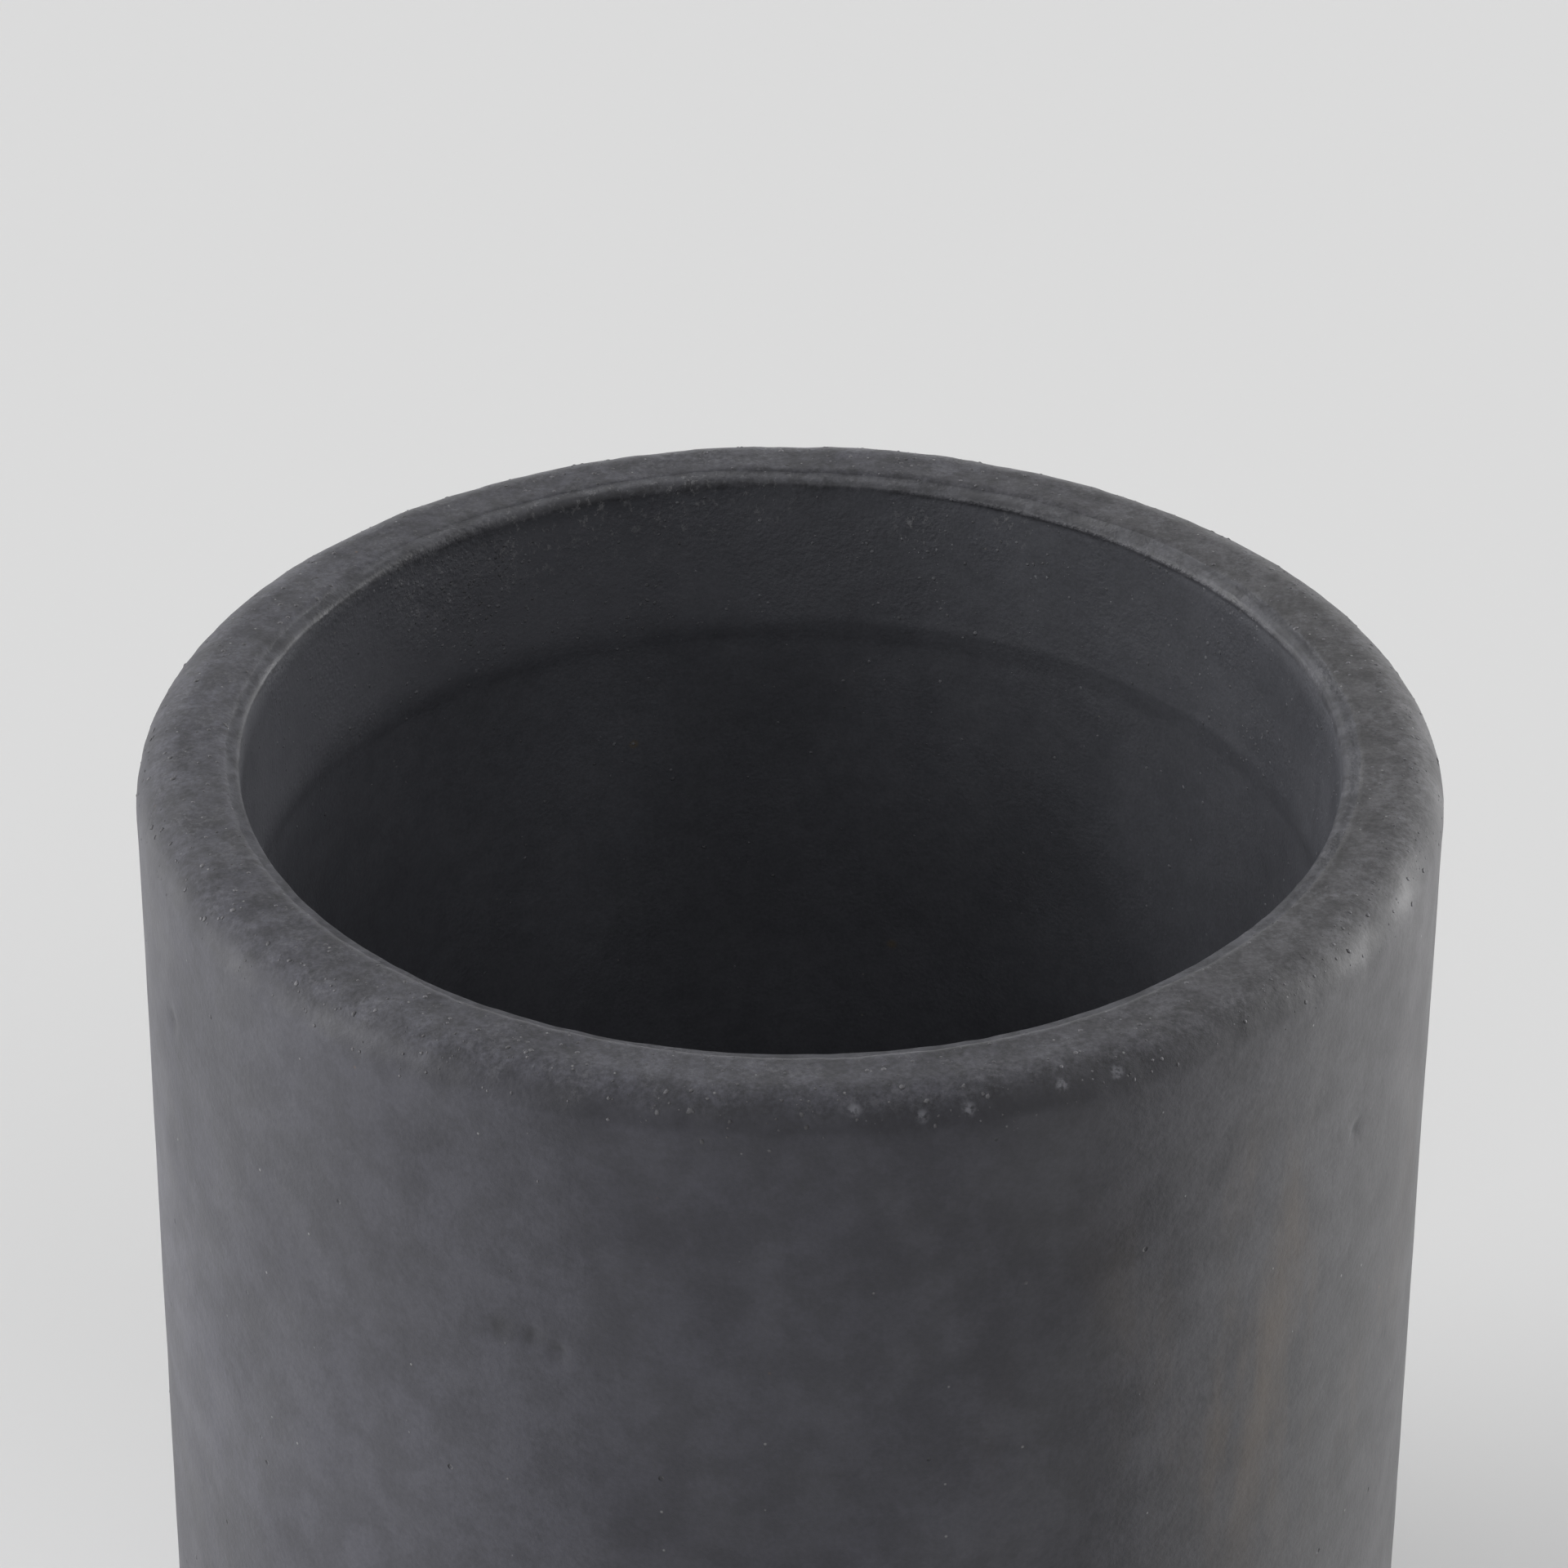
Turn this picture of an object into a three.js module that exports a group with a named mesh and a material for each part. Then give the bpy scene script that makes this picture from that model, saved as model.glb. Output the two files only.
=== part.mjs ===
// An empty candle jar: a straight-sided tumbler cast in charcoal concrete, with a thick wall,
// a rounded rim, a slightly tapered neck band inside the mouth and a plain cavity below it.
// The cavity is lined with a thin sealing coat, and the jar stands on four stick-on rubber feet.
// Units are millimetres, +Z is up, and the origin is the centre of the base, at the feet's undersides.

import * as THREE from "three";

// Driving dimensions
const OUTER_DIAMETER = 80;
const TOTAL_HEIGHT = 90;
const MOUTH_DIAMETER = 67.5; // clear opening inside the coat, just under the rounded lip
const FLOOR_THICKNESS = 8;
const SEAL_THICKNESS = 0.5;
const FOOT_DIAMETER = 10;
const FOOT_THICKNESS = 1.5;

// Rim and edges
const RIM_OUTER_FILLET = 2.8;
const RIM_INNER_FILLET = 0.9;
const BASE_FILLET = 1.5;

// Neck band inside the mouth, and the soft ridge that ends it
const NECK_HEIGHT = 10.6; // rim plane to the crest of the ridge
const NECK_TAPER = 0.65; // how much the radius narrows from the lip to the crest
const RIDGE_RADIUS = 0.7;
const RIDGE_DROP = 0.9; // crest of the ridge to where the straight cavity wall starts
const CAVITY_RELIEF = 0.2; // how far the cavity wall stands back from the crest
const FLOOR_FILLET = 5;

// Rubber feet
const FOOT_COUNT = 4;
const FOOT_CIRCLE_RADIUS = 26;
const FOOT_EDGE_BEVEL = 0.3;

// Fineness of the curved surfaces
const TURNS = 72; // facets round the jar
const FOOT_TURNS = 24;
const ARC_STEPS = 3; // a path's arc gets twice this many segments

const OUTER_RADIUS = OUTER_DIAMETER / 2;
const MOUTH_RADIUS = MOUTH_DIAMETER / 2;
const CREST_RADIUS = MOUTH_RADIUS - NECK_TAPER;
const CAVITY_RADIUS = CREST_RADIUS + CAVITY_RELIEF;
const BASE_Z = FOOT_THICKNESS;
const RIM_Z = TOTAL_HEIGHT;
const FLOOR_Z = BASE_Z + FLOOR_THICKNESS;
const CREST_Z = RIM_Z - NECK_HEIGHT;
const LIP_Z = RIM_Z - RIM_INNER_FILLET; // where the rounded lip ends and the coated neck starts

const QUARTER = Math.PI / 2;

const concrete = new THREE.MeshStandardMaterial({ color: 0x4b4c51, roughness: 0.9, metalness: 0 });
const sealer = new THREE.MeshStandardMaterial({ color: 0x3b3d42, roughness: 0.75, metalness: 0 });
const rubber = new THREE.MeshStandardMaterial({ color: 0x1d1d1f, roughness: 0.85, metalness: 0 });

// The inside of the jar from the lip down to the axis, standing back by `inset` from the clear
// surface: the neck's cone, the ridge, the straight wall, the floor's fillet and the floor.
function insideOutline(inset) {
  const path = new THREE.Path();
  path.moveTo(MOUTH_RADIUS + inset, LIP_Z);
  const coneShare = (LIP_Z - CREST_Z - RIDGE_RADIUS) / (LIP_Z - CREST_Z);
  path.lineTo(MOUTH_RADIUS - NECK_TAPER * coneShare + inset, CREST_Z + RIDGE_RADIUS);
  const undersideX = CREST_RADIUS + CAVITY_RELIEF / 2 + inset;
  path.quadraticCurveTo(CREST_RADIUS + inset, CREST_Z, undersideX, CREST_Z - RIDGE_DROP / 2);
  path.lineTo(CAVITY_RADIUS + inset, CREST_Z - RIDGE_DROP);
  const floorZ = FLOOR_Z + SEAL_THICKNESS - inset;
  const cornerX = CAVITY_RADIUS - FLOOR_FILLET;
  const cornerZ = FLOOR_Z + SEAL_THICKNESS + FLOOR_FILLET;
  path.lineTo(CAVITY_RADIUS + inset, cornerZ);
  path.absarc(cornerX, cornerZ, FLOOR_FILLET + inset, 0, -QUARTER, true);
  path.lineTo(0, floorZ);
  return path.getPoints(ARC_STEPS);
}

// Turns an outline of (radius, height) points about Z. LatheGeometry turns about Y, so it is stood up.
function turned(points, segments) {
  return new THREE.LatheGeometry(points, segments).rotateX(QUARTER);
}

// The cast body: underside, outer wall, rim, rounded lip, and the neck and cavity behind the coat.
// The lip is bare, and rounds off to meet the concrete's own face, so the coat's edge stands proud.
function jarBodyGeometry() {
  const path = new THREE.Path();
  path.moveTo(0, BASE_Z);
  path.lineTo(OUTER_RADIUS - BASE_FILLET, BASE_Z);
  path.absarc(OUTER_RADIUS - BASE_FILLET, BASE_Z + BASE_FILLET, BASE_FILLET, -QUARTER, 0);
  path.lineTo(OUTER_RADIUS, RIM_Z - RIM_OUTER_FILLET);
  path.absarc(OUTER_RADIUS - RIM_OUTER_FILLET, RIM_Z - RIM_OUTER_FILLET, RIM_OUTER_FILLET, 0, QUARTER);
  const lipX = MOUTH_RADIUS + SEAL_THICKNESS + RIM_INNER_FILLET;
  path.lineTo(lipX, RIM_Z);
  path.absarc(lipX, LIP_Z, RIM_INNER_FILLET, QUARTER, 2 * QUARTER);
  return turned([...path.getPoints(ARC_STEPS), ...insideOutline(SEAL_THICKNESS).slice(1)], TURNS);
}

// The sealing coat: a skin of even thickness over the whole inside, from the lip to the floor.
function sealCoatGeometry() {
  const againstBody = insideOutline(SEAL_THICKNESS).reverse();
  const clearFace = insideOutline(0);
  return turned([...againstBody, ...clearFace], TURNS);
}

// One stick-on foot: a flat disc with a small bevel round its underside.
function footGeometry() {
  const radius = FOOT_DIAMETER / 2;
  const outline = [
    [0, 0],
    [radius - FOOT_EDGE_BEVEL, 0],
    [radius, FOOT_EDGE_BEVEL],
    [radius, FOOT_THICKNESS],
    [0, FOOT_THICKNESS],
  ].map(([r, z]) => new THREE.Vector2(r, z));
  return turned(outline, FOOT_TURNS);
}

function named(name, geometry, material) {
  const mesh = new THREE.Mesh(geometry, material);
  mesh.name = name;
  return mesh;
}

const jar = new THREE.Group();
jar.add(named("jar_body", jarBodyGeometry(), concrete));
jar.add(named("inner_seal_coat", sealCoatGeometry(), sealer));

for (let i = 0; i < FOOT_COUNT; i++) {
  const foot = named(`rubber_foot_${i + 1}`, footGeometry(), rubber);
  const angle = ((i + 0.5) / FOOT_COUNT) * 2 * Math.PI;
  foot.position.set(FOOT_CIRCLE_RADIUS * Math.cos(angle), FOOT_CIRCLE_RADIUS * Math.sin(angle), 0);
  jar.add(foot);
}

export default jar;
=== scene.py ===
import math

import bpy
import numpy as np
from mathutils import Matrix, Vector


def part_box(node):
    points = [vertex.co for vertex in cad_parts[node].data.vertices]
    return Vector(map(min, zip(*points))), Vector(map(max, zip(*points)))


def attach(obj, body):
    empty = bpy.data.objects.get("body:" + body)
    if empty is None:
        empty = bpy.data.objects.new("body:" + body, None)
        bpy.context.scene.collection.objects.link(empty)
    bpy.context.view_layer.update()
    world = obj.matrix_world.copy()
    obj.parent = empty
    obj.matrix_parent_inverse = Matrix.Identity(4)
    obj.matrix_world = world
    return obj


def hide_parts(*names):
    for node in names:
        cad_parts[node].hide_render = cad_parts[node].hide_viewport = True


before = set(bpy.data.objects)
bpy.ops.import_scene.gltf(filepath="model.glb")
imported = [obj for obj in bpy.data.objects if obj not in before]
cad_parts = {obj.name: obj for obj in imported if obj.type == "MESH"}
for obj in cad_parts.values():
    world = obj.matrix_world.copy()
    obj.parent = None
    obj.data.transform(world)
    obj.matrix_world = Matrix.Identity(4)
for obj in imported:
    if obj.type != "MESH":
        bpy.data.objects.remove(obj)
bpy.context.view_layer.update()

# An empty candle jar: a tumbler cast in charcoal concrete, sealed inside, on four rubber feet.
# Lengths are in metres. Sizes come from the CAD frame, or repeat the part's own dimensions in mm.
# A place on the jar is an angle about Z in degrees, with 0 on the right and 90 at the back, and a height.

MM = 0.001

# Sizes read from the frame
jar_low, jar_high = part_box("jar_body")
coat_low, coat_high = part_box("inner_seal_coat")
OUTER_RADIUS = jar_high.x
BASE_Z = jar_low.z
RIM_Z = jar_high.z
LIP_Z = coat_high.z
CONCRETE_FLOOR_Z = coat_low.z

# Dimensions that the boxes don't show, as the part has them
MOUTH_RADIUS = 33.75 * MM
COAT_THICKNESS = 0.5 * MM
RIM_OUTER_FILLET = 2.8 * MM
RIM_INNER_FILLET = RIM_Z - LIP_Z
BASE_FILLET = 1.5 * MM
NECK_HEIGHT = 10.6 * MM
NECK_TAPER = 0.65 * MM
RIDGE_RADIUS = 0.7 * MM
RIDGE_DROP = 0.9 * MM
CAVITY_RELIEF = 0.2 * MM
FLOOR_FILLET = 5 * MM
FOOT_EDGE_BEVEL = 0.3 * MM

# The brushed coat rounds the ridge off a little more than the part's solid does
SOFT_RIDGE_RADIUS = 1.6 * MM
SOFT_RIDGE_DROP = 1.5 * MM
EDGE_BURIED = 0.005 * MM  # how far under the concrete the coat lies where it is worn away
FINE_WALL_Z = 62 * MM  # the outer wall is modelled more finely above this height

BARE_MOUTH_RADIUS = MOUTH_RADIUS + COAT_THICKNESS
LIP_CENTRE_RADIUS = BARE_MOUTH_RADIUS + RIM_INNER_FILLET
CREST_Z = RIM_Z - NECK_HEIGHT
CREST_RADIUS = MOUTH_RADIUS - NECK_TAPER
CAVITY_RADIUS = CREST_RADIUS + CAVITY_RELIEF
COAT_FLOOR_Z = CONCRETE_FLOOR_Z + COAT_THICKNESS

# Air holes that opened on the outer wall: angle, height, radius and depth
WALL_PITS = [
    (-114.6, 71.9 * MM, 0.9 * MM, 0.10 * MM),
    (-111.6, 71.9 * MM, 0.7 * MM, 0.20 * MM),
    (-109.4, 71.2 * MM, 0.6 * MM, 0.22 * MM),
    (-31.9, 75.9 * MM, 0.5 * MM, 0.30 * MM),
    (28.0, 52.0 * MM, 1.2 * MM, 0.30 * MM),
    (64.0, 24.5 * MM, 1.1 * MM, 0.25 * MM),
    (118.0, 70.5 * MM, 0.8 * MM, 0.25 * MM),
    (171.0, 33.0 * MM, 1.2 * MM, 0.30 * MM),
    (-158.0, 79.0 * MM, 0.7 * MM, 0.25 * MM),
]

# Whitish scuffs high on the neck: angle, height and reach
NECK_SCUFFS = [
    (136.0, 87.0 * MM, 4.0 * MM),
    (121.0, 87.4 * MM, 5.0 * MM),
    (112.0, 87.8 * MM, 5.0 * MM),
    (103.0, 88.0 * MM, 5.0 * MM),
    (93.0, 88.6 * MM, 3.0 * MM),
    (75.6, 87.2 * MM, 2.6 * MM),
    (64.6, 87.9 * MM, 2.0 * MM),
]

# Pale quartz grains on the shoulder, each with a painted glint: angle and height
SHOULDER_GLINTS = [
    (-84.6, 89.3 * MM),
    (-79.0, 88.5 * MM),
    (-75.1, 88.6 * MM),
    (-66.8, 89.1 * MM),
    (-61.7, 88.9 * MM),
]

# How finely the pieces are turned, and how many sand grains stand out of them
JAR_COLUMNS = 560
COAT_COLUMNS = 480
FOOT_COLUMNS = 96
RIM_GRAINS = 1500
NECK_GRAINS = 4200
SMALLEST_GRAIN = 0.03  # radius in mm
SEED = 12


# ---------------------------------------------------------------- shapes

def noise(points, size, seed):
    """Smooth random values from about -1 to 1, which change over a distance of about size."""
    cell = np.floor(points / size).astype(np.int64)
    part = points / size - cell
    part = part * part * (3 - 2 * part)
    total = np.zeros(len(points))
    for corner in np.ndindex(2, 2, 2):
        x, y, z = (cell + corner).T
        mixed = (x * 73856093) ^ (y * 19349663) ^ (z * 83492791) ^ (seed * 97531)
        mixed = ((mixed ^ (mixed >> 13)) * 1274126177) & 0xFFFFFFFF
        value = ((mixed ^ (mixed >> 16)) & 0xFFFF) / 32767.5 - 1
        total += value * np.prod(np.where(corner, part, 1 - part), axis=1)
    return total


def step(value, low, high):
    """0 below low, 1 above high and smooth between; low may be the larger."""
    t = np.clip((value - low) / (high - low), 0, 1)
    return t * t * (3 - 2 * t)


def place(angle, height, radius):
    """The point at an angle in degrees, a height and a distance from the jar's axis."""
    a = math.radians(angle)
    return np.array([radius * math.cos(a), radius * math.sin(a), height])


def line(start, end, spacing):
    """Points from start up to, but not including, end, about spacing apart."""
    start, end = np.array(start, float), np.array(end, float)
    count = max(1, round(np.linalg.norm(end - start) / spacing))
    return [start + (end - start) * i / count for i in range(count)]


def arc(centre, radius, start_deg, end_deg, spacing):
    """Points along an arc in the (radius, height) plane, without its last one."""
    sweep = math.radians(end_deg - start_deg)
    count = max(2, round(abs(sweep) * radius / spacing))
    angles = [math.radians(start_deg) + sweep * i / count for i in range(count)]
    return [np.array(centre) + radius * np.array([math.cos(a), math.sin(a)]) for a in angles]


class Turned:
    """A surface turned about Z from a closed outline of (radius, height), and then weathered.

    The outline runs with the solid on its left. One that starts and ends on the axis is capped there.
    """

    def __init__(self, outline, columns, offset=None, centre=(0, 0)):
        outline = np.array(outline)
        self.capped = outline[0, 0] < 1e-9
        rings = outline[1:-1] if self.capped else outline
        self.ends = outline[[0, -1], 1]
        along = np.concatenate([[0], np.cumsum(np.linalg.norm(np.diff(rings, axis=0), axis=1))])
        tangent = np.gradient(rings, along, axis=0)
        tangent /= np.linalg.norm(tangent, axis=1, keepdims=True)
        angles = np.linspace(0, 2 * math.pi, columns, endpoint=False)
        self.shape = (len(rings), columns)
        self.points = self.revolve(rings, angles)
        if offset:
            outward = self.revolve(np.stack([tangent[:, 1], -tangent[:, 0]], axis=1), angles)
            self.points = self.points + outward * offset(self.points)[:, None]
        self.points[:, :2] += centre
        self.centre = centre

    def revolve(self, rings, angles):
        radius, height = rings[:, :1], rings[:, 1:]
        x, y = radius * np.cos(angles), radius * np.sin(angles)
        return np.stack([x, y, np.broadcast_to(height, x.shape)], axis=-1).reshape(-1, 3)

    def faces(self):
        rows, columns = self.shape
        index = np.arange(rows * columns).reshape(rows, columns)
        if self.capped:
            lower, upper = index[:-1], index[1:]
        else:
            lower, upper = index, np.roll(index, -1, axis=0)
        quads = np.stack([lower, np.roll(lower, -1, 1), np.roll(upper, -1, 1), upper], axis=-1)
        faces = [tuple(q) for q in quads.reshape(-1, 4).tolist()]
        if self.capped:
            first, last = rows * columns, rows * columns + 1
            bottom, top = index[0].tolist(), index[-1].tolist()
            for i in range(columns):
                j = (i + 1) % columns
                faces.append((first, bottom[j], bottom[i]))
                faces.append((last, top[i], top[j]))
        return faces

    def vertices(self):
        if not self.capped:
            return self.points
        return np.vstack([self.points, [[*self.centre, z] for z in self.ends]])

    def scatter(self, count, density, rng):
        """Random points on the surface with their normals, thinned out by density(points)."""
        grid = self.points.reshape(*self.shape, 3)
        across = np.roll(grid, -1, axis=1) - grid
        along = np.gradient(grid, axis=0)
        normal = np.cross(across, along)
        area = np.linalg.norm(normal, axis=2).ravel()
        chance = area * density(self.points)
        picks = rng.choice(len(chance), count, p=chance / chance.sum())
        jitter = rng.uniform(-0.5, 0.5, (count, 2))
        spots = self.points[picks] + across.reshape(-1, 3)[picks] * jitter[:, :1]
        spots = spots + along.reshape(-1, 3)[picks] * jitter[:, 1:]
        return spots, (normal.reshape(-1, 3) / area[:, None])[picks]


GRAIN_SIDES = 6
GRAIN_PROFILE = [(1.6, -0.12), (0.8, 0.55)]  # spread and rise of a grain's rings


def grains(spots, normals, radii, rises, rng):
    """Small lumpy domes, each closed and sunk a little into the surface that it sits on."""
    helper = np.where(np.abs(normals[:, 2:]) > 0.8, [[1.0, 0, 0]], [[0, 0, 1.0]])
    side = np.cross(normals, helper)
    side /= np.linalg.norm(side, axis=1, keepdims=True)
    other = np.cross(normals, side)
    turn = np.linspace(0, 2 * math.pi, GRAIN_SIDES, endpoint=False)
    lumps = rng.uniform(0.65, 1.35, (len(spots), GRAIN_SIDES))
    tilt = rng.uniform(-0.25, 0.25, (len(spots), 2))
    rings = []
    for spread, rise in GRAIN_PROFILE:
        reach = lumps * spread * radii[:, None]
        x = reach * np.cos(turn) + tilt[:, :1] * rise * radii[:, None]
        y = reach * np.sin(turn) + tilt[:, 1:] * rise * radii[:, None]
        flat = side[:, None] * x[..., None] + other[:, None] * y[..., None]
        rings.append(spots[:, None] + flat + normals[:, None] * (rise * rises)[:, None, None])
    tips = spots + normals * rises[:, None] + side * (tilt[:, :1] * radii[:, None])
    roots = spots - normals * (0.3 * rises)[:, None]
    points = np.concatenate([*rings, tips[:, None], roots[:, None]], axis=1)
    size = points.shape[1]
    pattern = []  # the faces of one grain, whose last two points are its tip and its root
    for i in range(GRAIN_SIDES):
        j = (i + 1) % GRAIN_SIDES
        pattern.append((size - 1, j, i))
        pattern.append((size - 2, size - 2 - GRAIN_SIDES + i, size - 2 - GRAIN_SIDES + j))
        for ring in range(len(GRAIN_PROFILE) - 1):
            low, high = ring * GRAIN_SIDES, (ring + 1) * GRAIN_SIDES
            pattern.append((low + i, low + j, high + j, high + i))
    faces = [tuple(v + size * k for v in face) for k in range(len(spots)) for face in pattern]
    return points.reshape(-1, 3), faces


def build(name, vertices, faces, material):
    """One smooth-shaded object that rides on the jar."""
    mesh = bpy.data.meshes.new(name)
    mesh.from_pydata(vertices.tolist(), [], faces)
    mesh.update()
    mesh.shade_smooth()
    mesh.materials.append(material)
    piece = bpy.data.objects.new(name, mesh)
    bpy.context.scene.collection.objects.link(piece)
    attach(piece, "root")
    return piece


# ---------------------------------------------------------------- the jar's outlines and weathering

def inside_outline(inset, spacing, ridge_radius=RIDGE_RADIUS, ridge_drop=RIDGE_DROP):
    """The inside from the lip to the axis, standing back by inset from the clear surface."""
    floor_z = COAT_FLOOR_Z - inset
    corner = (CAVITY_RADIUS - FLOOR_FILLET, COAT_FLOOR_Z + FLOOR_FILLET)
    ridge_top = CREST_Z + ridge_radius
    cone_share = (LIP_Z - ridge_top) / (LIP_Z - CREST_Z)
    cone_end = np.array([MOUTH_RADIUS - NECK_TAPER * cone_share + inset, ridge_top])
    crest = np.array([CREST_RADIUS + inset, CREST_Z])
    underside = np.array([CREST_RADIUS + CAVITY_RELIEF / 2 + inset, CREST_Z - ridge_drop / 2])
    wall_top = np.array([CAVITY_RADIUS + inset, CREST_Z - ridge_drop])
    wall_middle = (wall_top[0], CREST_Z - 16 * MM)
    bend = np.linspace(0, 1, 11)[:-1]
    ridge = [t * t * underside + 2 * t * (1 - t) * crest + (1 - t) ** 2 * cone_end for t in bend]
    points = line((MOUTH_RADIUS + inset, LIP_Z), cone_end, spacing) + ridge
    points += line(underside, wall_top, spacing)
    points += line(wall_top, wall_middle, spacing * 1.7)
    points += line(wall_middle, (wall_top[0], corner[1]), max(spacing * 6, 2 * MM))
    points += arc(corner, FLOOR_FILLET + inset, 0, -90, max(spacing * 3, 0.9 * MM))
    points += line((corner[0], floor_z), (0, floor_z), max(spacing * 6, 2 * MM))
    points.append(np.array([0, floor_z]))
    return points


def jar_outline():
    """The concrete: underside, outer wall, rounded shoulder, rim, lip, and the inside behind the coat."""
    shoulder = (OUTER_RADIUS - RIM_OUTER_FILLET, RIM_Z - RIM_OUTER_FILLET)
    foot = (OUTER_RADIUS - BASE_FILLET, BASE_Z + BASE_FILLET)
    points = line((0, BASE_Z), (foot[0], BASE_Z), 4 * MM)
    points += arc(foot, BASE_FILLET, -90, 0, 0.35 * MM)
    points += line((OUTER_RADIUS, foot[1]), (OUTER_RADIUS, FINE_WALL_Z), 1.1 * MM)
    points += line((OUTER_RADIUS, FINE_WALL_Z), (OUTER_RADIUS, shoulder[1]), 0.6 * MM)
    points += arc(shoulder, RIM_OUTER_FILLET, 0, 90, 0.28 * MM)
    points += line((shoulder[0], RIM_Z), (LIP_CENTRE_RADIUS, RIM_Z), 0.22 * MM)
    points += arc((LIP_CENTRE_RADIUS, LIP_Z), RIM_INNER_FILLET, 90, 180, 0.12 * MM)
    return points + inside_outline(COAT_THICKNESS, 6 * MM)


def coat_outline():
    """The coat's back, its edge over the rounded lip, which weather_coat thins, and its clear face."""
    back = inside_outline(COAT_THICKNESS, 6 * MM)[::-1]
    edge = arc((LIP_CENTRE_RADIUS, LIP_Z), RIM_INNER_FILLET + COAT_THICKNESS, 98, 180, 0.075 * MM)
    return back + edge + inside_outline(0, 0.3 * MM, SOFT_RIDGE_RADIUS, SOFT_RIDGE_DROP)


def foot_outline(radius, low_z, high_z):
    """A disc with a rounded lower edge, which steps in a little where it is stuck to the base."""
    rounded_radius = radius - FOOT_EDGE_BEVEL
    stuck_radius = radius - 0.15 * MM
    step_low, step_high = high_z - 0.3 * MM, high_z - 0.22 * MM
    points = line((0, low_z), (rounded_radius, low_z), 0.6 * MM)
    points += arc((rounded_radius, low_z + FOOT_EDGE_BEVEL), FOOT_EDGE_BEVEL, -90, 0, 0.06 * MM)
    points += line((radius, low_z + FOOT_EDGE_BEVEL), (radius, step_low), 0.1 * MM)
    points += line((radius, step_low), (stuck_radius, step_high), 0.05 * MM)
    points += line((stuck_radius, step_high), (stuck_radius, high_z), 0.06 * MM)
    points += line((stuck_radius, high_z), (0, high_z), 1.2 * MM)
    points.append(np.array([0, high_z]))
    return points


def weather_concrete(points):
    """How far the cast surface stands out from its true shape."""
    radius = np.hypot(points[:, 0], points[:, 1])
    height = points[:, 2]
    wall = step(height, BASE_Z, BASE_Z + 3 * MM)
    rim = step(height, RIM_Z - 5 * MM, RIM_Z - 1 * MM)
    waves = 0.10 * MM * noise(points, 31 * MM, 1) + 0.05 * MM * noise(points, 11 * MM, 2)
    ripple = 0.018 * MM * noise(points, 3.1 * MM, 3)
    lumps = 0.05 * MM * noise(points, 4.3 * MM, 4) + 0.035 * MM * noise(points, 1.7 * MM, 5)
    crumbs = 0.03 * MM * noise(points, 0.8 * MM, 6)
    offset = wall * (waves + ripple) + rim * (lumps + crumbs)
    for angle, z, size, depth in WALL_PITS:
        distance = np.linalg.norm(points - place(angle, z, OUTER_RADIUS), axis=1)
        offset -= depth * np.exp(-((distance / size) ** 2))
    outer_edge = step(radius, OUTER_RADIUS - 2 * MM, OUTER_RADIUS)
    nicks = step(noise(points, 2.6 * MM, 7), 0.55, 0.95) * rim * outer_edge
    offset -= 0.14 * MM * nicks
    # Behind the coat, from just under the lip down, the surface keeps its true shape
    inside = (radius < BARE_MOUTH_RADIUS + 0.5 * RIM_INNER_FILLET) & (height > BASE_Z + 1 * MM)
    return np.where(inside, offset * step(height, LIP_Z - 0.3 * MM, LIP_Z + 0.7 * MM), offset)


def brushed_face(points, height, angle):
    """How far the coat's clear face stands out: brush marks, its ragged ridge and a pitted patch."""
    swell = 0.06 * MM * noise(points, 14 * MM, 11) + 0.03 * MM * noise(points, 4.5 * MM, 12)
    peel = 0.010 * MM * noise(points, 1.3 * MM, 13) + 0.007 * MM * noise(points, 0.6 * MM, 19)
    ridge = np.exp(-(((height - CREST_Z) / (1.2 * MM)) ** 2))
    ragged = ridge * (0.04 * MM * noise(points, 2.4 * MM, 14) + 0.05 * MM * noise(points, 7 * MM, 15))
    # The crest keeps its edge at the back right, where the brush missed the corner under it
    crisp = step(angle, 5, 30) * step(angle, 100, 75)
    crest = crisp * 0.05 * MM * np.exp(-(((height - CREST_Z - 0.2 * MM) / (0.45 * MM)) ** 2))
    # The pitted patch is at the back left, just under the lip
    patch = np.linalg.norm(points - place(132, LIP_Z - 1.4 * MM, MOUTH_RADIUS), axis=1)
    pitted = step(patch, 7 * MM, 3 * MM) * 0.05 * MM * noise(points, 1.0 * MM, 17)
    return swell + peel + ragged + crest + pitted


def worn_away(points, angle, lean):
    """How much of the coat is gone over the lip, where lean is how far round the lip a point is.

    The coat thins out to nothing part way round the lip, and goes on further where the brush did: at
    the back left and on the right.
    """
    over = step(angle, 88, 100) * step(angle, 150, 138) + step(np.abs(angle), 75, 25)
    over = np.clip(over + 0.2 * noise(points, 5 * MM, 16), 0, 1)
    ends_at = 34 + 17 * over + 3 * noise(points, 1.1 * MM, 18)
    fades = 26 + 4 * over
    return step(lean, ends_at - fades, ends_at + fades)


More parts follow.
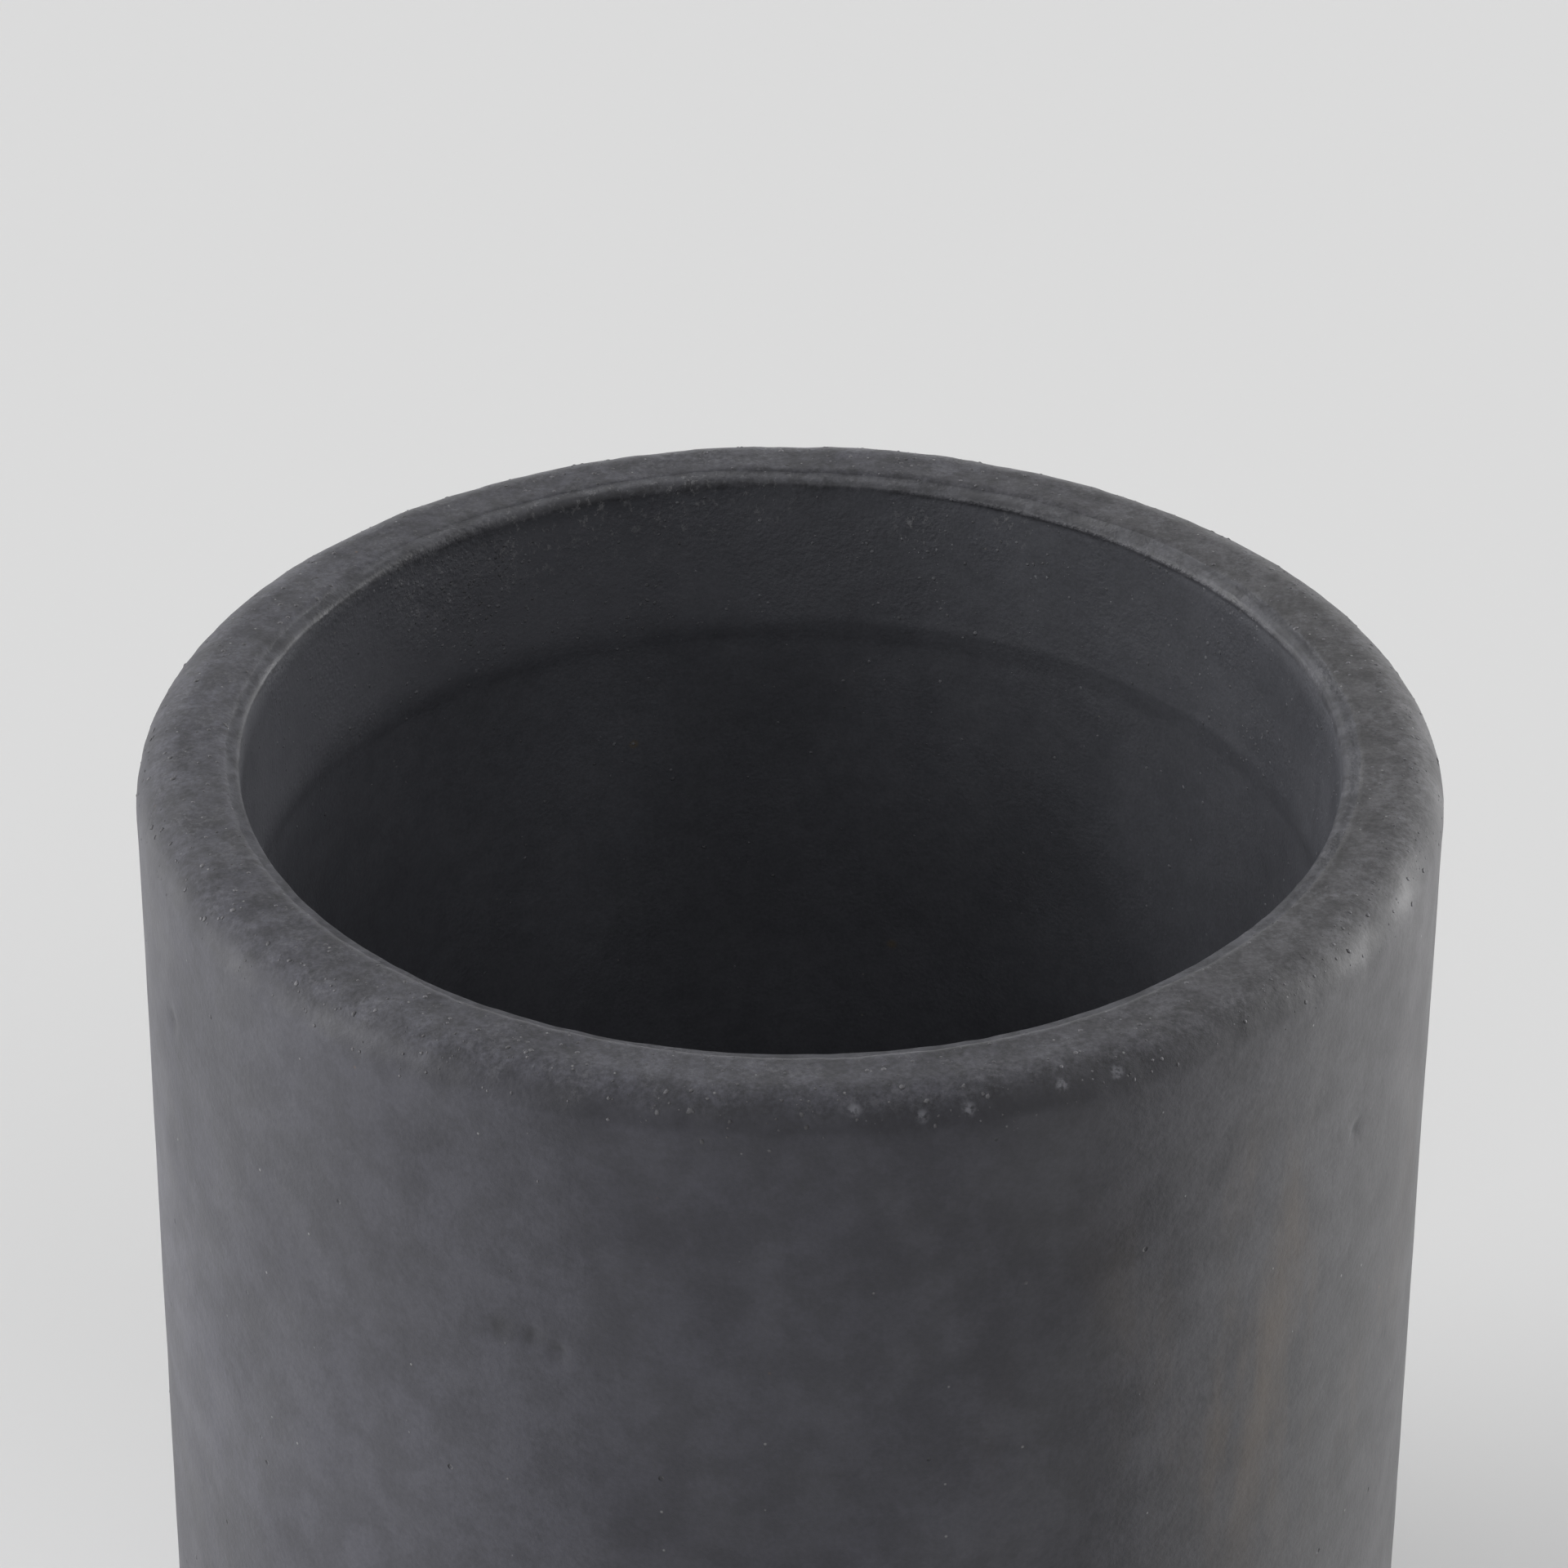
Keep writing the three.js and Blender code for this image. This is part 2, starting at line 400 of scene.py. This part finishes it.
def weather_coat(points):
    """How far the brushed-on sealer stands out from its true shape, on the clear side only."""
    radius = np.maximum(np.hypot(points[:, 0], points[:, 1]), 0.1 * MM)
    height = points[:, 2]
    angle = np.degrees(np.arctan2(points[:, 1], points[:, 0]))
    lean = np.degrees(np.arctan2(height - LIP_Z, LIP_CENTRE_RADIUS - radius))
    heights = [CREST_Z - SOFT_RIDGE_DROP, CREST_Z, LIP_Z]
    wall_radius = np.interp(height, heights, [CAVITY_RADIUS, CREST_RADIUS, MOUTH_RADIUS])
    on_edge = height > LIP_Z + 0.001 * MM
    clear = on_edge | ((radius < wall_radius + 0.2 * MM) & (height > COAT_FLOOR_Z - 0.1 * MM))
    remaining = np.where(on_edge, (1 - worn_away(points, angle, lean)) ** 2, 1)
    # A bead of sealer stands along the start of the edge, and is thick at the back right
    thick = step(angle, 14, 34) * step(angle, 84, 66)
    bead = (0.07 * thick + (0.01 + 0.02 * thick) * noise(points, 1.2 * MM, 20)) * MM
    bead = bead * np.exp(-(((lean - 8) / 10) ** 2)) * on_edge
    # The coat lies on the concrete, so it takes on the lumps of the bare lip under each point
    shrink = RIM_INNER_FILLET / (RIM_INNER_FILLET + COAT_THICKNESS)
    under = points * ((LIP_CENTRE_RADIUS + (radius - LIP_CENTRE_RADIUS) * shrink) / radius)[:, None]
    under[:, 2] = LIP_Z + (height - LIP_Z) * shrink
    follow = weather_concrete(under) * step(lean, 0, 25) * on_edge
    edge = bead * remaining + follow - (1 - remaining) * (COAT_THICKNESS + EDGE_BURIED)
    return np.where(clear, brushed_face(points, height, angle) * remaining + edge, 0)


# ---------------------------------------------------------------- materials

# Colours, as linear red, green and blue
BLUISH_CONCRETE = (0.0495, 0.0495, 0.0615)
NEUTRAL_CONCRETE = (0.0535, 0.0525, 0.0565)
RIM_DUST = (0.125, 0.125, 0.14)
WATER_MARK = (0.11, 0.087, 0.068)
PALE_SAND = (0.28, 0.28, 0.28)
RUST = (0.17, 0.10, 0.055)
QUARTZ = (0.26, 0.26, 0.29)
HOLE_SHADOW = (0.03, 0.03, 0.035)
CHAFED = (0.2, 0.2, 0.2)
SEALER = (0.0765, 0.0785, 0.090)
WORN_SEALER = (0.058, 0.0585, 0.067)
BEAD_DUST = (0.15, 0.15, 0.165)
NECK_LIGHT_PAINT = (0.147, 0.149, 0.168)
SCUFFED = (0.24, 0.24, 0.25)
DUSTY_GRIT = (0.22, 0.215, 0.20)
BROWN_MARK = (0.13, 0.10, 0.06)
RIM_SAND = (0.075, 0.074, 0.08)
NECK_SAND = (0.09, 0.091, 0.1)
RUBBER = (0.018, 0.018, 0.019)
LINT = (0.12, 0.12, 0.12)


class Finish:
    """A node material under construction. Its helpers hand back sockets, and sizes are in metres."""

    def __init__(self, name):
        self.material = bpy.data.materials.new(name)
        self.material.use_nodes = True
        self.tree = self.material.node_tree
        self.shader = self.tree.nodes["Principled BSDF"]
        self.position = self.node("ShaderNodeTexCoord").outputs["Object"]
        split = self.node("ShaderNodeSeparateXYZ")
        self.put(split.inputs[0], self.position)
        self.x, self.y, self.z = split.outputs

    def node(self, kind, **settings):
        node = self.tree.nodes.new(kind)
        for key, value in settings.items():
            setattr(node, key, value)
        return node

    def put(self, socket, value):
        """Link a socket's value, or set a plain one."""
        if isinstance(value, bpy.types.NodeSocket):
            self.tree.links.new(value, socket)
        else:
            socket.default_value = value

    def math(self, operation, a, b=0.0, clamp=False):
        node = self.node("ShaderNodeMath", operation=operation, use_clamp=clamp)
        self.put(node.inputs[0], a)
        self.put(node.inputs[1], b)
        return node.outputs[0]

    def plus(self, *terms):
        total = terms[0]
        for term in terms[1:]:
            total = self.math("ADD", total, term)
        return total

    def times(self, *terms):
        total = terms[0]
        for term in terms[1:]:
            total = self.math("MULTIPLY", total, term)
        return total

    def from_axis(self):
        """How far a point is from the jar's axis."""
        return self.math("SQRT", self.plus(self.times(self.x, self.x), self.times(self.y, self.y)))

    def span(self, value, low, high, to_low=0.0, to_high=1.0):
        """A smooth change from to_low to to_high as value goes from low to high."""
        node = self.node("ShaderNodeMapRange", interpolation_type="SMOOTHSTEP")
        for socket, number in zip(node.inputs, (value, low, high, to_low, to_high)):
            self.put(socket, number)
        return node.outputs[0]

    def shifted(self, seed, stretch=(1, 1, 1)):
        """Places on the jar, moved to a part of a pattern that no other seed uses."""
        node = self.node("ShaderNodeMapping")
        self.put(node.inputs["Vector"], self.position)
        node.inputs["Location"].default_value = (0.37 * seed, 0.11 * seed, 0.23 * seed)
        node.inputs["Scale"].default_value = stretch
        return node.outputs[0]

    def noise(self, size, seed, detail=3.0, rough=0.55, stretch=(1, 1, 1)):
        """Cloudy values from 0 to 1, mostly near 0.5, which change over a distance of about size."""
        node = self.node("ShaderNodeTexNoise")
        self.put(node.inputs["Vector"], self.shifted(seed, stretch))
        node.inputs["Scale"].default_value = 1 / size
        node.inputs["Detail"].default_value = detail
        node.inputs["Roughness"].default_value = rough
        return node.outputs["Fac"]

    def specks(self, spacing, radius, share, seed):
        """Soft dots of about a radius, on a share of the cells of a random pattern."""
        node = self.node("ShaderNodeTexVoronoi")
        self.put(node.inputs["Vector"], self.shifted(seed))
        node.inputs["Scale"].default_value = 1 / spacing
        dot = self.span(node.outputs["Distance"], radius / spacing, 0.4 * radius / spacing)
        chosen = self.node("ShaderNodeSeparateColor")
        self.put(chosen.inputs[0], node.outputs["Color"])
        picked = self.span(chosen.outputs[0], 1 - share, 1 - 0.7 * share)
        return self.times(dot, picked)

    def near(self, centre, reach, soft=0.5):
        """1 within a part of reach from a point and 0 beyond it."""
        node = self.node("ShaderNodeVectorMath", operation="DISTANCE")
        self.put(node.inputs[0], self.position)
        node.inputs[1].default_value = tuple(centre)
        return self.span(node.outputs["Value"], reach, reach * (1 - soft))

    def blend(self, amount, a, b):
        """Colour a turning into colour b as amount goes from 0 to 1."""
        node = self.node("ShaderNodeMix", data_type="RGBA")
        self.put(node.inputs[0], amount)
        for socket, colour in ((node.inputs[6], a), (node.inputs[7], b)):
            self.put(socket, (*colour, 1) if isinstance(colour, tuple) else colour)
        return node.outputs[2]

    def shade(self, colour, amount):
        """Colour made darker or lighter by a factor."""
        node = self.node("ShaderNodeVectorMath", operation="SCALE")
        self.put(node.inputs[0], colour)
        self.put(node.inputs["Scale"], amount)
        return node.outputs[0]

    def finish(self, colour, roughness, height, **constants):
        """The material with its bumps, and constants for the shader's other inputs."""
        self.put(self.shader.inputs["Base Color"], colour)
        self.put(self.shader.inputs["Roughness"], roughness)
        for name, value in constants.items():
            self.shader.inputs[name.replace("_", " ")].default_value = value
        bump = self.node("ShaderNodeBump")
        bump.inputs["Strength"].default_value = 1
        bump.inputs["Distance"].default_value = 1
        self.put(bump.inputs["Height"], height)
        self.put(self.shader.inputs["Normal"], bump.outputs[0])
        return self.material


def rubbed(f, colour, amount):
    """The rubbed rim: mottled, with dust in patches a millimetre or two across."""
    patches = f.span(f.noise(1.6 * MM, 20, detail=4, rough=0.65), 0.4, 0.6, 0.68, 1.14)
    colour = f.shade(colour, f.plus(1.0, f.times(amount, f.plus(patches, -1.0))))
    dust = f.span(f.noise(2.4 * MM, 15, detail=3), 0.42, 0.62)
    dust = f.times(dust, f.span(f.noise(0.4 * MM, 6, detail=5, rough=0.75), 0.45, 0.66))
    return f.blend(f.times(amount, dust, 0.5), colour, RIM_DUST)


def cast_colour(f, top):
    """Clouded, blotched and grainy charcoal, bluish on the left and neutral towards the right."""
    clouds = f.span(f.noise(26 * MM, 1, detail=5), 0.35, 0.65, 0.86, 1.14)
    blotches = f.span(f.noise(3.1 * MM, 2, detail=5, rough=0.65), 0.38, 0.62, 0.87, 1.13)
    grain = f.span(f.noise(0.35 * MM, 3, detail=4, rough=0.7), 0.3, 0.7, -1.0, 1.0)
    grain = f.plus(1.0, f.times(grain, f.span(top, 0.0, 1.0, 0.10, 0.34)))
    colour = f.blend(f.span(f.x, 0.0, 38 * MM), BLUISH_CONCRETE, NEUTRAL_CONCRETE)
    return f.shade(colour, f.times(clouds, blotches, grain))


def painted_shoulder_shade(f, colour):
    """Painted shade: a darker line round the shoulder, where the rounded edge turns up and away from the
    light.
    """
    height = f.plus(f.z, f.times(f.noise(4 * MM, 40), 0.8 * MM))
    from_below = f.span(height, RIM_Z - 2.2 * MM, RIM_Z - 1.2 * MM)
    from_above = f.span(height, RIM_Z + 0.2 * MM, RIM_Z - 0.6 * MM)
    return f.shade(colour, f.span(f.times(from_below, from_above), 0.0, 1.0, 1.0, 0.8))


def water_marks(f, colour):
    """Warm marks that run down the front right."""
    run = f.noise(6 * MM, 4, detail=4, stretch=(1, 1, 0.25))
    area = f.near(place(-43, 65 * MM, OUTER_RADIUS), 24 * MM, soft=0.9)
    warm = f.times(area, f.span(run, 0.45, 0.68))
    return f.blend(f.times(warm, 0.55), colour, WATER_MARK)


def painted_lip_shade(f, colour, from_axis):
    """Painted shade: the rounded lip is darkened a little, where it turns down into the mouth away from the
    light.
    """
    lip_shade = f.plus(from_axis, f.times(f.noise(1.2 * MM, 19), 0.8 * MM))
    lip_shade = f.span(lip_shade, BARE_MOUTH_RADIUS + 2.5 * MM, BARE_MOUTH_RADIUS + 1.0 * MM)
    return f.shade(colour, f.span(lip_shade, 0.0, 1.0, 1.0, 0.86))


def quartz_and_painted_glints(f, colour):
    """Larger quartz grains on the front of the shoulder: their own pale colour, with a painted glint on
    each.
    """
    glints = 0.0
    for angle, z in SHOULDER_GLINTS:
        glint = f.near(place(angle, z, OUTER_RADIUS - 0.7 * MM), 0.62 * MM, soft=0.9)
        glints = f.math("MAXIMUM", glints, glint)
    glints = f.times(glints, f.span(f.noise(0.35 * MM, 18), 0.35, 0.6))
    return f.blend(f.times(glints, 0.7), colour, QUARTZ)


def painted_hole_shadow(f, colour, pinholes):
    """Painted shadow in the pinholes and in the larger air holes."""
    holes = pinholes
    for angle, z, size, _ in WALL_PITS:
        hole = f.near(place(angle, z, OUTER_RADIUS), size * 1.6, soft=0.9)
        holes = f.math("MAXIMUM", holes, hole)
    ragged = f.span(f.noise(0.9 * MM, 17, detail=4), 0.3, 0.62, 0.2, 0.8)
    return f.blend(f.times(holes, ragged), colour, HOLE_SHADOW)


def chafed_base(f, colour, from_axis):
    """The edge round the base, chafed pale."""
    chafe = f.times(
        f.span(f.z, BASE_Z + 1.8 * MM, BASE_Z + 0.2 * MM),
        f.span(from_axis, OUTER_RADIUS - 3 * MM, OUTER_RADIUS - 1.2 * MM),
        f.span(f.noise(1.5 * MM, 10), 0.5, 0.65),
    )
    return f.blend(f.times(chafe, 0.5), colour, CHAFED)


def concrete_material():
    """Cast charcoal concrete, where top goes from 0 on the wall to 1 on the rubbed rim."""
    f = Finish("cast_concrete")
    from_axis = f.from_axis()
    top = f.plus(f.z, f.times(f.noise(2.2 * MM, 5), 1.6 * MM))
    top = f.span(top, RIM_Z - 0.9 * MM, RIM_Z + 0.7 * MM)
    # A painted shade line goes round the shoulder
    colour = painted_shoulder_shade(f, cast_colour(f, top))
    colour = rubbed(f, water_marks(f, colour), top)
    # Painted shade on the rounded lip
    colour = painted_lip_shade(f, colour, from_axis)
    # Sand grains that show pale, more of them on the rim, and a few rusty spots
    sand_on_top = f.times(top, f.specks(0.8 * MM, 0.1 * MM, 0.35, 8))
    sand = f.plus(f.specks(1.5 * MM, 0.12 * MM, 0.2, 7), sand_on_top)
    colour = f.blend(f.math("MULTIPLY", sand, 0.6, clamp=True), colour, PALE_SAND)
    rust = f.specks(3.4 * MM, 0.16 * MM, 0.15, 16)
    colour = f.blend(f.times(rust, 0.5), colour, RUST)
    # Pale quartz grains with painted glints on the front of the shoulder
    colour = quartz_and_painted_glints(f, colour)
    pinholes = f.specks(3.1 * MM, 0.2 * MM, 0.3, 9)
    # Painted shadow in the holes
    colour = painted_hole_shadow(f, colour, pinholes)
    colour = chafed_base(f, colour, from_axis)
    roughness = f.span(f.noise(7 * MM, 11), 0.3, 0.7, 0.62, 0.8)
    grain = f.noise(0.45 * MM, 13, detail=4, rough=0.65)
    height = f.plus(
        f.times(f.noise(2.3 * MM, 12, detail=2), 0.03 * MM),
        f.times(grain, f.plus(f.times(top, 0.01 * MM), 0.035 * MM)),
        f.times(pinholes, -0.12 * MM),
        f.times(sand, 0.03 * MM),
    )
    return f.finish(colour, roughness, height, Sheen_Weight=0.11, Sheen_Roughness=0.5)


def grit_material(name, colour):
    """Loose-looking sand grains, each a little paler or darker than the next."""
    f = Finish(name)
    vary = f.span(f.noise(0.8 * MM, 36, detail=1), 0.3, 0.7, 0.8, 1.7)
    height = f.times(f.noise(0.12 * MM, 37, detail=1), 0.02 * MM)
    return f.finish(f.shade(colour, vary), 0.75, height)


def worn_over_lip(f, colour):
    """Over the lip the coat is worn down to the look of the rubbed concrete."""
    worn = f.plus(f.z, f.times(f.noise(1.8 * MM, 23), 0.5 * MM))
    worn = f.span(worn, LIP_Z + 0.05 * MM, LIP_Z + 0.45 * MM)
    return f.blend(worn, colour, rubbed(f, WORN_SEALER, 1.0))


def dusty_bead(f):
    """Where the rough bead at the back right catches dust."""
    bead = f.near(place(52, LIP_Z, MOUTH_RADIUS), 20 * MM, soft=0.6)
    bead = f.times(bead, f.span(f.z, LIP_Z - 0.1 * MM, LIP_Z + 0.1 * MM))
    bead = f.times(bead, f.span(f.z, LIP_Z + 0.45 * MM, LIP_Z + 0.25 * MM))
    return f.times(bead, f.span(f.noise(0.35 * MM, 24, detail=3, rough=0.7), 0.38, 0.62))


def painted_light_on_neck(f, colour):
    """Painted light: the coat is made paler on the back left of the neck, between the ridge and the lip,
    standing in for light that falls there.
    """
    light_patch = f.near(place(140, LIP_Z - 4 * MM, MOUTH_RADIUS), 42 * MM, soft=0.8)
    light_patch = f.times(light_patch, f.span(f.z, CREST_Z - 1.5 * MM, CREST_Z + 2 * MM))
    light_patch = f.times(light_patch, f.span(f.z, LIP_Z - 0.1 * MM, LIP_Z - 1.4 * MM))
    return f.blend(f.times(light_patch, 0.36), colour, NECK_LIGHT_PAINT)


def neck_scratches(f):
    """Fine scratches in each of the scuffs."""
    scratches = f.span(f.noise(0.5 * MM, 25, detail=4, rough=0.7, stretch=(1, 1, 0.7)), 0.54, 0.68)
    scuffs = 0.0
    for angle, z, reach in NECK_SCUFFS:
        scuffs = f.math("MAXIMUM", scuffs, f.near(place(angle, z, MOUTH_RADIUS), reach, soft=0.8))
    return f.times(scuffs, scratches)


def grit_and_marks(f, colour):
    """Dusty grit all over the coat, and two small brown marks in the cavity."""
    grit = f.specks(1.9 * MM, 0.11 * MM, 0.25, 26)
    colour = f.blend(f.times(grit, 0.5), colour, DUSTY_GRIT)
    left_mark = f.near(place(108.4, 70.6 * MM, CAVITY_RADIUS), 0.45 * MM, soft=0.7)
    right_mark = f.near(place(77.8, 54.2 * MM, CAVITY_RADIUS), 0.5 * MM, soft=0.8)
    return f.blend(f.times(f.math("MAXIMUM", left_mark, right_mark), 0.6), colour, BROWN_MARK)


def coat_material():
    """The brushed sealer: blue-grey, a little smoother than the concrete, dusty in places, with painted
    light on the back left of the neck.
    """
    f = Finish("seal_coat")
    clouds = f.span(f.noise(17 * MM, 21, detail=4), 0.3, 0.7, 0.88, 1.12)
    mottle = f.span(f.noise(1.3 * MM, 22, detail=5, rough=0.65), 0.3, 0.7, 0.92, 1.08)
    fine = f.span(f.noise(0.25 * MM, 38, detail=3, rough=0.7), 0.3, 0.7, 0.90, 1.10)
    colour = f.shade(SEALER, f.times(clouds, mottle, fine))
    colour = worn_over_lip(f, colour)
    bead = dusty_bead(f)
    colour = f.blend(f.times(bead, 0.5), colour, BEAD_DUST)
    # Painted light on the back left of the neck
    colour = painted_light_on_neck(f, colour)
    scratches = neck_scratches(f)
    colour = f.blend(f.times(scratches, 0.6), colour, SCUFFED)
    colour = grit_and_marks(f, colour)
    roughness = f.span(f.noise(4 * MM, 27), 0.3, 0.7, 0.52, 0.66)
    # Sandy bumps, rougher in places and higher on the neck, and rougher still in one patch
    sandy = f.span(f.noise(6 * MM, 35), 0.42, 0.6, 0.022 * MM, 0.05 * MM)
    sandy = f.times(sandy, f.span(f.z, CREST_Z - 1 * MM, CREST_Z + 1 * MM, 1.0, 1.35))
    patch = f.near(place(132, LIP_Z - 1.6 * MM, MOUTH_RADIUS), 7.5 * MM, soft=0.6)
    height = f.plus(
        f.times(f.noise(2.6 * MM, 28, detail=2), 0.02 * MM),
        f.times(f.noise(0.3 * MM, 29, detail=2), f.plus(f.times(bead, 0.05 * MM), sandy)),
        f.times(scratches, 0.02 * MM),
        f.times(patch, f.noise(0.45 * MM, 39), 0.1 * MM),
    )
    return f.finish(colour, roughness, height)


def rubber_material():
    """Black rubber with a pale bloom and a little lint."""
    f = Finish("foot_rubber")
    bloom = f.span(f.noise(2.5 * MM, 31, detail=4), 0.35, 0.7, 0.8, 1.5)
    colour = f.shade(RUBBER, bloom)
    lint = f.specks(0.9 * MM, 0.07 * MM, 0.25, 32)
    colour = f.blend(f.times(lint, 0.4), colour, LINT)
    roughness = f.span(f.noise(1.2 * MM, 33), 0.3, 0.7, 0.6, 0.85)
    height = f.times(f.noise(0.35 * MM, 34, detail=2), 0.02 * MM)
    return f.finish(colour, roughness, height)


# ---------------------------------------------------------------- camera, floor and light

CAMERA_TILT = 30.93  # degrees below the horizontal, at the middle of the rim
CAMERA_DISTANCE = 9.7 * OUTER_RADIUS
CAMERA_LENS = 145.35  # mm
SENSOR_WIDTH = 36  # mm
RIM_OFF_CENTRE = (0.068, 0.403)  # degrees right of and above the middle of the frame
CAMERA_ROLL = 0.36  # degrees
FLOOR_HALF_WIDTH = 6.0
FLOOR_GREY = 0.78
BACKDROP_SEEN = 0.723  # how bright the backdrop looks, to match the lit floor
BACKDROP_LIGHT = 0.06  # how much light it gives


def make_camera():
    rim = Vector((0, 0, RIM_Z))
    tilt = math.radians(CAMERA_TILT)
    eye = rim + CAMERA_DISTANCE * Vector((0, -math.cos(tilt), math.sin(tilt)))
    data = bpy.data.cameras.new("camera")
    data.sensor_width = SENSOR_WIDTH
    data.lens = CAMERA_LENS
    camera = bpy.data.objects.new("camera", data)
    yaw, pitch = (math.radians(a) for a in RIM_OFF_CENTRE)
    turn = Matrix.Rotation(yaw, 4, "Z") @ Matrix.Rotation(math.radians(90) - tilt - pitch, 4, "X")
    roll = Matrix.Rotation(math.radians(CAMERA_ROLL), 4, "Z")
    camera.matrix_world = Matrix.Translation(eye) @ turn @ roll
    bpy.context.scene.collection.objects.link(camera)
    bpy.context.scene.camera = camera


def make_floor():
    half = FLOOR_HALF_WIDTH
    corners = [(-half, -half, 0), (half, -half, 0), (half, half, 0), (-half, half, 0)]
    mesh = bpy.data.meshes.new("floor")
    mesh.from_pydata(corners, [], [(0, 1, 2, 3)])
    floor = bpy.data.objects.new("floor", mesh)
    bpy.context.scene.collection.objects.link(floor)
    material = bpy.data.materials.new("pale_floor")
    material.use_nodes = True
    shader = material.node_tree.nodes["Principled BSDF"]
    shader.inputs["Base Color"].default_value = (FLOOR_GREY, FLOOR_GREY, FLOOR_GREY, 1)
    shader.inputs["Roughness"].default_value = 1
    shader.inputs["Specular IOR Level"].default_value = 0
    mesh.materials.append(material)


# Soft lights: direction about Z (0 shines from the camera's side, 90 from the right), height above
# the horizon, strength, and how many degrees of sky each one fills
LIGHTS = [
    ("low_right_behind", 116, 0.0, 4.3, 5),
    ("low_left_behind", 255, 0.0, 3.4, 5),
    ("right_behind", 123, 24, 1.2, 36),
    ("right_front", 55, 33, 0.3, 30),
    ("left", 282, 24, 1.45, 36),
    ("left_behind", 208, 42, 1.1, 36),
    ("front_high", 0, 46, 0.5, 36),
    ("left_high", 270, 46, 0.36, 36),
]


def make_lights():
    for name, azimuth, elevation, strength, spread in LIGHTS:
        data = bpy.data.lights.new(name, "SUN")
        data.energy = strength
        data.angle = math.radians(spread)
        light = bpy.data.objects.new(name, data)
        a, e = math.radians(azimuth), math.radians(elevation)
        towards = Vector((math.sin(a) * math.cos(e), -math.cos(a) * math.cos(e), math.sin(e)))
        light.rotation_euler = towards.to_track_quat("Z", "Y").to_euler()
        light.location = towards
        bpy.context.scene.collection.objects.link(light)


def make_backdrop():
    """A backdrop that looks as pale as the floor, and adds only a little light of its own."""
    world = bpy.data.worlds.new("studio")
    bpy.context.scene.world = world
    world.use_nodes = True
    nodes, links = world.node_tree.nodes, world.node_tree.links
    seen = nodes.new("ShaderNodeLightPath").outputs["Is Camera Ray"]
    level = nodes.new("ShaderNodeMapRange")
    level.inputs["To Min"].default_value = BACKDROP_LIGHT
    level.inputs["To Max"].default_value = BACKDROP_SEEN
    links.new(seen, level.inputs["Value"])
    links.new(level.outputs[0], nodes["Background"].inputs["Strength"])
    nodes["Background"].inputs["Color"].default_value = (1, 1, 1, 1)


# ---------------------------------------------------------------- the pieces

def rim_density(points):
    """Crumbs stand on the rounded shoulder and the rim, and hardly at all on the wall."""
    on_rim = step(points[:, 2], RIM_Z - 3.5 * MM, RIM_Z - 1 * MM)
    open_side = np.hypot(points[:, 0], points[:, 1]) > BARE_MOUTH_RADIUS + 0.3 * MM
    return (0.004 + on_rim) * open_side * (points[:, 2] > BASE_Z + 3 * MM)


def coat_density(points):
    """Grit under the coat: most on the neck, some along the ridge, little in the upper cavity."""
    height = points[:, 2]
    clear = np.hypot(points[:, 0], points[:, 1]) < MOUTH_RADIUS + 0.02 * MM
    neck = step(height, CREST_Z - 0.5 * MM, CREST_Z + 0.5 * MM)
    cavity = 0.22 * step(height, CREST_Z - 30 * MM, CREST_Z)
    clusters = 0.25 + step(noise(points, 5 * MM, 41), -0.2, 0.7)
    rough = step(np.linalg.norm(points - place(131, LIP_Z - 1.5 * MM, MOUTH_RADIUS), axis=1), 7 * MM, 3 * MM)
    below_lip = height < LIP_Z + 0.2 * MM
    return clear * below_lip * (clusters * (0.02 + cavity + neck) + 5 * rough)


def sand_grains(surface, count, density, size_spread, rise_range, rng):
    """The vertices and faces of sand grains on a surface, most of them small. The sizes are in mm."""
    spots, normals = surface.scatter(count, density, rng)
    radii = (SMALLEST_GRAIN + size_spread * rng.random(len(spots)) ** 3) * MM
    rises = radii * rng.uniform(*rise_range, len(spots))
    return grains(spots, normals, radii, rises, rng)


make_camera()
make_floor()
make_lights()
make_backdrop()
bpy.context.scene.view_settings.view_transform = "Standard"
rng = np.random.default_rng(SEED)
concrete, sealer, rubber = concrete_material(), coat_material(), rubber_material()
rim_sand = grit_material("rim_sand", RIM_SAND)
neck_sand = grit_material("neck_sand", NECK_SAND)

jar_surface = Turned(jar_outline(), JAR_COLUMNS, weather_concrete)
shape = sand_grains(jar_surface, RIM_GRAINS, rim_density, 0.09, (0.3, 0.7), rng)
crumbs = build("rim_crumbs", *shape, rim_sand)
jar = build("jar_shell", jar_surface.vertices(), jar_surface.faces(), concrete)
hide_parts("jar_body")

coat_surface = Turned(coat_outline(), COAT_COLUMNS, weather_coat)
shape = sand_grains(coat_surface, NECK_GRAINS, coat_density, 0.07, (0.15, 0.4), rng)
grit = build("neck_grit", *shape, neck_sand)
coat = build("seal_coat_skin", coat_surface.vertices(), coat_surface.faces(), sealer)
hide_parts("inner_seal_coat")

for number in range(1, 5):
    low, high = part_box(f"rubber_foot_{number}")
    radius = (high.x - low.x) / 2
    middle = ((low.x + high.x) / 2, (low.y + high.y) / 2)
    disc = Turned(foot_outline(radius, low.z, high.z), FOOT_COLUMNS, centre=middle)
    foot = build(f"foot_pad_{number}", disc.vertices(), disc.faces(), rubber)
    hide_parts(f"rubber_foot_{number}")
